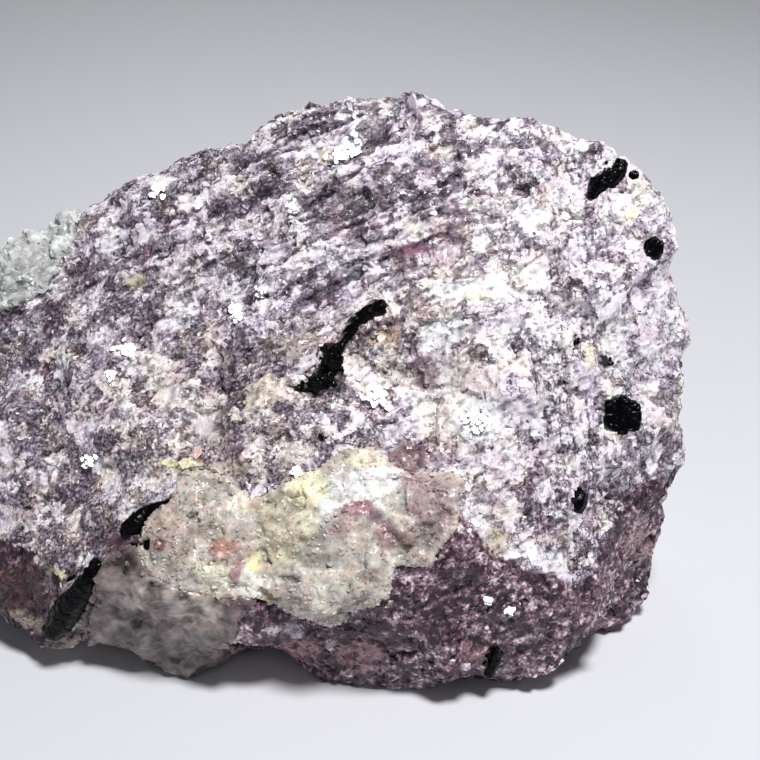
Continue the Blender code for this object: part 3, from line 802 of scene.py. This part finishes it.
def plates_mesh(name, centres, faces_to, sizes, thickness, rng, sides=PLATE_SIDES):
    """Many thin closed plates with irregular outlines, as one mesh."""
    count = len(centres)
    helper = unit(rng.normal(size=(count, 3)))
    across = unit(np.cross(faces_to, helper))
    along = np.cross(faces_to, across)
    angle = 2 * np.pi * (np.arange(sides) + rng.uniform(-0.3, 0.3, (count, sides))) / sides
    reach = sizes[:, None] * rng.uniform(0.65, 1.1, (count, sides)) / 2
    stretch = rng.uniform(0.6, 1.0, (count, 1))
    flat = (np.cos(angle) * reach)[..., None] * across[:, None]
    flat = flat + (np.sin(angle) * reach * stretch)[..., None] * along[:, None]
    half = faces_to[:, None] * thickness[:, None, None] / 2
    corners = np.concatenate((centres[:, None] + flat + half, centres[:, None] + flat - half), 1)
    turn = np.arange(sides)
    after = (turn + 1) % sides
    polygons = [turn, turn[::-1] + sides]
    polygons += [np.array((i, i + sides, j + sides, j)) for i, j in zip(turn, after)]
    lengths = np.tile([len(p) for p in polygons], count)
    one = np.concatenate(polygons)
    loops = (one[None] + 2 * sides * np.arange(count)[:, None]).ravel()
    mesh = bpy.data.meshes.new(name)
    mesh.vertices.add(count * 2 * sides)
    mesh.vertices.foreach_set("co", (corners.reshape(-1, 3) * MM).astype(np.float32).ravel())
    mesh.loops.add(len(loops))
    mesh.loops.foreach_set("vertex_index", loops.astype(np.int32))
    mesh.polygons.add(len(lengths))
    mesh.polygons.foreach_set("loop_start", np.concatenate(([0], lengths.cumsum()[:-1])).astype(np.int32))
    mesh.update(calc_edges=True)
    mesh.shade_flat()
    obj = bpy.data.objects.new(name, mesh)
    SCENE.collection.objects.link(obj)
    return obj


def scatter_plates(name, ground, material, count, size, seed, tilt):
    """Thin mica plates all over the block, each with the colours of its place."""
    rng = np.random.default_rng(seed)
    places, rows = ground.random_places(count, rng, ground.above_floor())
    normals = ground.normals[rows]
    faces_to = unit(normals + tilt * unit(rng.normal(size=(count, 3))) * rng.random((count, 1)) ** 1.5)
    sizes = size * rng.lognormal(0, 0.35, count)
    thickness = sizes * rng.uniform(0.08, 0.16, count)
    centres = places + normals * (rng.uniform(-0.08, 0.04, count) * sizes)[:, None]
    plates = plates_mesh(name, centres, faces_to, sizes, thickness, rng)
    # A few plates get a painted glint: a much lighter colour
    painted_glints = rng.random(count) < 0.04
    set_attribute(plates.data, "tint", per_corner(rng.uniform(-0.36, 0.36, count) + 2 * painted_glints))
    for key in ("shade", "beige", "plum", "rising", "upright", "stain_and_painted_light"):
        set_attribute(plates.data, key, per_corner(ground.attribute(key, rows)))
    plates.data.materials.append(material)
    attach(plates, "root")


def scatter_grains(name, ground, material, count, size, seed, border_of=None):
    """Small grains of quartz in about the tint of their place, or only along the border of a named node."""
    rng = np.random.default_rng(seed)
    weight = ground.above_floor()
    if border_of:
        weight = weight * ground.along_border(border_of)
    places, rows = ground.random_places(count, rng, weight)
    normals = ground.normals[rows]
    faces_to = unit(normals + 0.7 * unit(rng.normal(size=(count, 3))))
    sizes = size * rng.lognormal(0, 0.35, count)
    centres = places - 0.1 * sizes[:, None] * normals
    thickness = sizes * rng.uniform(0.3, 0.6, count)
    grains = plates_mesh(name, centres, faces_to, sizes, thickness, rng)
    tints = ground.attribute("tint", rows)
    tints[:, :3] *= rng.uniform(0.88, 1.10, (count, 1))
    set_attribute(grains.data, "tint", per_corner(tints))
    set_attribute(grains.data, "specked", per_corner(ground.attribute("specked", rows)))
    grains.data.materials.append(material)
    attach(grains, "root")


# Base colours of the three quartz bodies
LENS_COLOUR = (0.625, 0.575, 0.525)
FOOT_COLOUR = (0.225, 0.185, 0.177)
KNOB_COLOUR = (0.67, 0.68, 0.665)

# Spots on the lens and the foot, stains with a painted highlight among them: pixel, half sizes, turn in
# degrees, colour and strength
LENS_STAINS_AND_HIGHLIGHT = (
    ((290, 525), (5.5, 3.0), 70, (0.74, 0.70, 0.52), 0.7),
    ((310, 489), (2.2, 2.8), 60, (1.0, 0.97, 0.72), 1.0),
    ((366, 460), (2.6, 1.1), 0, (0.96, 0.90, 0.74), 1.0),
    # Painted highlight: the white spot at (362, 486)
    ((362, 486), (4.8, 2.4), 10, (0.98, 0.97, 0.97), 1.0),
    ((330, 500), (1.6, 1.6), 0, (0.92, 0.95, 0.92), 0.9),
    ((272, 520), (1.4, 3.2), -15, (0.90, 0.84, 0.60), 0.6), ((357, 507), (1.9, 1.1), 15, ROSE, 1.0),
    ((374, 514), (1.0, 0.8), 0, PLUM, 0.8), ((386, 534), (1.3, 1.5), 0, ROSE, 0.8),
    ((404, 540), (1.7, 1.2), 0, (0.36, 0.24, 0.23), 0.9), ((345, 527), (1.4, 1.4), 0, PINK, 0.6),
    ((432, 508), (2.8, 3.6), 0, (0.45, 0.34, 0.36), 0.9),
    ((418, 482), (2.4, 1.3), 0, (0.60, 0.43, 0.45), 0.8),
    ((368, 575), (1.4, 0.8), 0, (0.34, 0.27, 0.24), 0.8),
    ((175, 530), (2.4, 3.0), 0, (0.56, 0.46, 0.42), 0.8),
    ((250, 500), (2.6, 1.2), 20, (0.80, 0.74, 0.62), 0.8),
    ((318, 606), (2.6, 0.8), 0, (0.92, 0.88, 0.78), 0.8),
    ((160, 545), (1.0, 0.8), 0, (0.25, 0.15, 0.15), 0.9), ((222, 549), (1.9, 1.1), 10, RUST, 0.9),
    ((236, 570), (0.8, 1.7), 0, ROSE, 0.85), ((214, 577), (1.7, 2.0), 20, (1.0, 0.97, 0.80), 1.0),
    ((256, 584), (2.2, 1.7), 0, (1.0, 0.98, 0.88), 1.0),
    ((253, 562), (0.9, 1.1), 0, (0.95, 0.88, 0.52), 1.0), ((268, 596), (1.3, 0.5), 0, YELLOW, 1.0),
    ((340, 575), (4.0, 3.0), 0, (0.66, 0.66, 0.60), 0.6),
    ((195, 530), (2.6, 3.0), 0, (0.70, 0.62, 0.57), 0.5),
)
FOOT_STAINS = (
    ((150, 590), (3.4, 2.0), 10, (0.37, 0.32, 0.30), 0.9),
    ((200, 605), (3.2, 2.2), 20, (0.42, 0.36, 0.32), 0.9),
    ((190, 645), (3.2, 1.6), 10, (0.15, 0.125, 0.12), 0.6),
    ((120, 640), (2.6, 1.4), 0, (0.11, 0.085, 0.085), 0.8),
    ((240, 615), (1.4, 4.0), 0, (0.20, 0.115, 0.145), 0.5),
    ((172, 565), (3.0, 1.2), 15, (0.30, 0.24, 0.25), 0.7),
    ((128, 560), (2.0, 1.2), 0, (0.12, 0.07, 0.085), 0.7),
)

# Where the lens is specked with dark grains: pixel, half sizes and share
LENS_SPECKS = (
    ((180, 520), (4.5, 6.0), 0.8), ((430, 520), (4.0, 7.0), 0.9), ((380, 590), (5.0, 3.0), 0.7),
    ((250, 480), (5.0, 1.6), 0.6), ((300, 600), (6.0, 1.5), 0.6), ((385, 470), (4.0, 1.5), 0.6),
)


def build_quartz(node, name, base, marks, material, lump, rough, rough_size):
    """A quartz body with rounded lumps, a rough surface, its spots and its specks."""
    body = fine_copy(node, name, QUARTZ_FACES)
    mesh = body.data
    points = points_of(mesh)
    normals = normals_of(mesh)
    rise = lump * cells_at(points, 2.6, 2.0) + rough * noise_at(points, rough_size, 7.0, 3) + 0.3
    rise += 0.4 * lump * cells_at(points, 1.3, 6.0)
    # Beside the other solids it rises almost evenly, to close the gap
    border = smooth_step(-distance_to_others(points, node, 1.6), -1.5, -0.5)
    rise = rise * (1 - border) + (0.38 + 0.3 * (rise - 0.3)) * border
    px, py = pixels_of(points)
    px = px + 5 * noise_at(points, 2.0, 4.0)
    py = py + 5 * noise_at(points, 2.0, 9.0)
    facing = smooth_step(normals @ OUT, -0.25, 0.15)
    spots = spots_at(points, facing, px, py, marks)
    colours = np.ones((len(points), 4))
    cover = spots[:, 3:]
    colours[:, :3] = np.array(base) * (1 - cover) + spots[:, :3] * cover
    put_points(mesh, points + normals * (rise * above_sole(points))[:, None])
    set_attribute(mesh, "tint", colours)
    specked = np.zeros(len(points))
    for pixel, (wide, high), share in LENS_SPECKS:
        dx, dy = from_pixel(points, px, py, pixel)
        reach = np.hypot(dx / wide, dy / high)
        specked = np.maximum(specked, share * smooth_step(-reach, -1.4, -0.6))
    set_attribute(mesh, "specked", specked)
    # Painted shade: darker where the surface rises least
    set_attribute(mesh, "hollow_shade", smooth_step(0.3 - rise, 0.08, 0.4))
    mesh.materials.clear()
    mesh.materials.append(material)
    mesh.shade_smooth()
    return body


def build_tourmaline(material):
    """The black crystals, each over its own solid."""
    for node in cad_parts:
        if not node.startswith("tourmaline"):
            continue
        rod = fine_copy(node, node + "_crystal", ROD_FACES)
        mesh = rod.data
        points = points_of(mesh)
        normals = normals_of(mesh)
        rise = 0.04 * cells_at(points, 0.9, 1.0) + 0.10 + 0.05 * noise_at(points, 0.5, 3.0)
        if node == "tourmaline_rod_centre":
            # A slender upper limb and a broader, ragged lower one
            px, py = pixels_of(points)
            lower = smooth_step(py, 338, 352)
            rise += lower * smooth_step(px, 305, 320) * 0.7 * (noise_at(points, 1.0, 6.0, 2) + 0.45)
            rise -= 0.3 * smooth_step(py, 310, 336) * (1 - lower)
        if node == "tourmaline_rod_lower_left":
            rise += 0.35
        put_points(mesh, points + normals * rise[:, None])
        mesh.materials.clear()
        mesh.materials.append(material)
        mesh.shade_flat()


def scatter_chips(name, ground, material, spots, size, seed):
    """Splinters scattered around spots of the front."""
    rng = np.random.default_rng(seed)
    places, normals = [], []
    for (px, py), spread, count in spots:
        for dx, dy in rng.normal(size=(count, 2)) * spread * FOCAL / DISTANCE:
            place, normal = ground.at_pixel(px + dx, py + dy)
            if place.ndim:
                places.append(place)
                normals.append(normal)
    places, normals = np.array(places), np.array(normals)
    faces_to = unit(normals + 0.5 * unit(rng.normal(size=places.shape)))
    sizes = size * rng.lognormal(0, 0.3, len(places))
    places = places + 0.25 * normals
    thickness = sizes * rng.uniform(0.3, 0.6, len(sizes))
    chips = plates_mesh(name, places, faces_to, sizes, thickness, rng, CHIP_SIDES)
    chips.data.materials.append(material)
    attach(chips, "root")


# Splinters of tourmaline: pixel, spread in millimetres and count
SPLINTERS = (
    ((330, 365), 0.7, 34), ((312, 384), 0.6, 18), ((350, 335), 0.35, 10), ((380, 308), 0.3, 8),
    ((610, 172), 0.7, 16), ((155, 512), 0.6, 14), ((135, 522), 0.5, 12), ((578, 501), 0.4, 6),
    ((65, 612), 0.8, 16), ((80, 580), 0.6, 10), ((488, 662), 0.5, 8), ((575, 342), 0.3, 5),
    ((611, 360), 0.25, 4), ((320, 437), 0.15, 2), ((168, 531), 0.15, 2), ((300, 389), 0.3, 6),
)

# Clusters of mica plates that flash: pixel and size
FLASHES = (
    ((377, 401), 3.4), ((236, 315), 2.2), ((261, 292), 1.3), ((159, 191), 2.0), ((198, 205), 1.4),
    ((340, 154), 2.8), ((352, 148), 2.4), ((291, 209), 1.4), ((126, 350), 1.9), ((111, 376), 1.0),
    ((87, 463), 1.5), ((297, 472), 1.2), ((478, 420), 3.0), ((510, 612), 1.1), ((487, 601), 0.8),
)


def build_flashes(ground):
    """Clusters of small white plates, turned so that they send the main light to the camera."""
    rng = np.random.default_rng(31)
    places, sizes = [], []
    for (px, py), size in FLASHES:
        count = int(5 + 6 * size)
        for dx, dy in rng.normal(size=(count, 2)) * 0.24 * size * FOCAL / DISTANCE:
            place = ground.at_pixel(px + dx, py + dy)[0]
            if place.ndim:
                places.append(place)
                sizes.append(rng.uniform(0.5, 0.75) + 0.12 * size)
    places, sizes = np.array(places), np.array(sizes)
    light = TARGET + KEY_DISTANCE * unit(KEY_DIRECTION)
    half = unit(unit(EYE - places) + unit(light - places) + 0.08 * rng.normal(size=places.shape))
    centres = places + half * rng.uniform(0.25, 0.45, (len(places), 1))
    plates = plates_mesh("mica_flashes", centres, half, sizes, np.full(len(sizes), 0.25), rng)
    plates.data.materials.append(flash_material())
    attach(plates, "root")


def add_area_light(name, direction, distance, size, watts, colour=(1, 1, 1)):
    """A round lamp that faces the middle of the block; lengths in millimetres."""
    light = bpy.data.lights.new(name, "AREA")
    light.shape = "DISK"
    light.size = size * MM
    light.energy = watts
    light.color = colour
    obj = bpy.data.objects.new(name, light)
    place = TARGET + unit(np.array(direction)) * distance
    obj.location = Vector(place) * MM
    obj.rotation_euler = Vector(direction).to_track_quat("Z", "Y").to_euler()
    SCENE.collection.objects.link(obj)


# The round floor: where it starts to curve up, the radius of that curve, and the wall's height
FLAT_REACH = 420
CURVE = 140
WALL_HEIGHT = 500
FLOOR_SIDES = 96


def build_floor():
    """A round floor that curves up into a wall, so that it is seen behind the block from every side."""
    quarter = np.linspace(0, math.pi / 2, 13)
    bend = [(FLAT_REACH + math.sin(a) * CURVE, CURVE - math.cos(a) * CURVE) for a in quarter]
    profile = [(100, 0), (250, 0)] + bend + [(FLAT_REACH + CURVE, WALL_HEIGHT)]
    around = np.linspace(0, 2 * math.pi, FLOOR_SIDES, endpoint=False)
    bm = bmesh.new()
    rings = []
    for reach, height in profile:
        ring = [Vector((reach * math.cos(a), reach * math.sin(a), height)) * MM for a in around]
        rings.append([bm.verts.new(place) for place in ring])
    bm.faces.new(rings[0])
    for inner, outer in zip(rings, rings[1:]):
        for k in range(FLOOR_SIDES):
            after = (k + 1) % FLOOR_SIDES
            bm.faces.new((inner[k], outer[k], outer[after], inner[after]))
    mesh = bpy.data.meshes.new("floor")
    bm.to_mesh(mesh)
    bm.free()
    mesh.shade_smooth()
    floor = bpy.data.objects.new("floor", mesh)
    SCENE.collection.objects.link(floor)
    mesh.materials.append(floor_material())


def build_lights():
    world = bpy.data.worlds.new("studio")
    world.use_nodes = True
    background = world.node_tree.nodes["Background"]
    background.inputs["Color"].default_value = (0.92, 0.95, 1, 1)
    background.inputs["Strength"].default_value = 0.075
    SCENE.world = world
    add_area_light("key", KEY_DIRECTION, KEY_DISTANCE, size=95, watts=2.09)
    add_area_light("fill", (-0.6, -0.7, 0.5), 500, size=400, watts=0.05, colour=(0.95, 0.97, 1))
    add_area_light("back", (-0.15, 0.88, 0.45), 500, size=200, watts=0.3, colour=(0.97, 0.98, 1))


def build_camera():
    data = bpy.data.cameras.new("camera")
    data.sensor_width = 36
    data.lens = 36 * FOCAL / PHOTO
    data.clip_start = 0.01
    camera = bpy.data.objects.new("camera", data)
    camera.location = Vector(EYE) * MM
    camera.rotation_euler = (math.pi / 2 - LEAN, 0, 0)
    SCENE.collection.objects.link(camera)
    SCENE.camera = camera


def build_lens():
    granular = granular_material()
    lens = build_quartz("quartz_lens", "quartz_lens_surface", LENS_COLOUR,
                        LENS_STAINS_AND_HIGHLIGHT, granular, lump=0.20, rough=0.16, rough_size=1.0)
    ground = Ground(lens)
    scatter_grains("quartz_grains", ground, granular,
                   count=5000, size=0.42, seed=41)
    scatter_grains("quartz_border_grains", ground, granular,
                   count=2500, size=0.6, seed=42, border_of="quartz_lens")
    return granular


def build_foot(granular):
    glassy = glassy_material("smoky_quartz_glass", (1, 0, 0.35), wispy=2.0, cloudy=4.6, roughness=0.22)
    foot = build_quartz("smoky_quartz_foot", "smoky_quartz_surface", FOOT_COLOUR,
                        FOOT_STAINS, glassy, lump=0.0, rough=0.45, rough_size=2.0)
    scatter_grains("smoky_border_grains", Ground(foot), granular,
                   count=1800, size=0.6, seed=43, border_of="smoky_quartz_foot")


def build_knob():
    milky = glassy_material("milky_quartz", (1, 0, 1), wispy=0.9, cloudy=2.0, roughness=0.4)
    knob = build_quartz("white_quartz_knob", "white_quartz_surface", KNOB_COLOUR,
                        (), milky, lump=0.3, rough=0.3, rough_size=2.0)
    ground = Ground(knob)
    scatter_grains("white_grains", ground, milky, count=900, size=0.6, seed=44)
    scatter_grains("white_border_grains", ground, milky,
                   count=500, size=0.7, seed=45, border_of="white_quartz_knob")


def main():
    build_camera()
    build_floor()
    build_lights()
    ground = Ground(build_mass())
    plates = plate_material()
    scatter_plates("mica_plates_small", ground, plates, count=11000, size=0.5, seed=11, tilt=0.42)
    scatter_plates("mica_plates_large", ground, plates, count=7000, size=0.85, seed=12, tilt=0.28)
    build_flashes(ground)
    build_foot(build_lens())
    build_knob()
    black = tourmaline_material()
    build_tourmaline(black)
    scatter_chips("tourmaline_splinters", ground, black, SPLINTERS, size=0.6, seed=21)
    SCENE.view_settings.view_transform = "Standard"
    SCENE.view_settings.look = "None"


main()
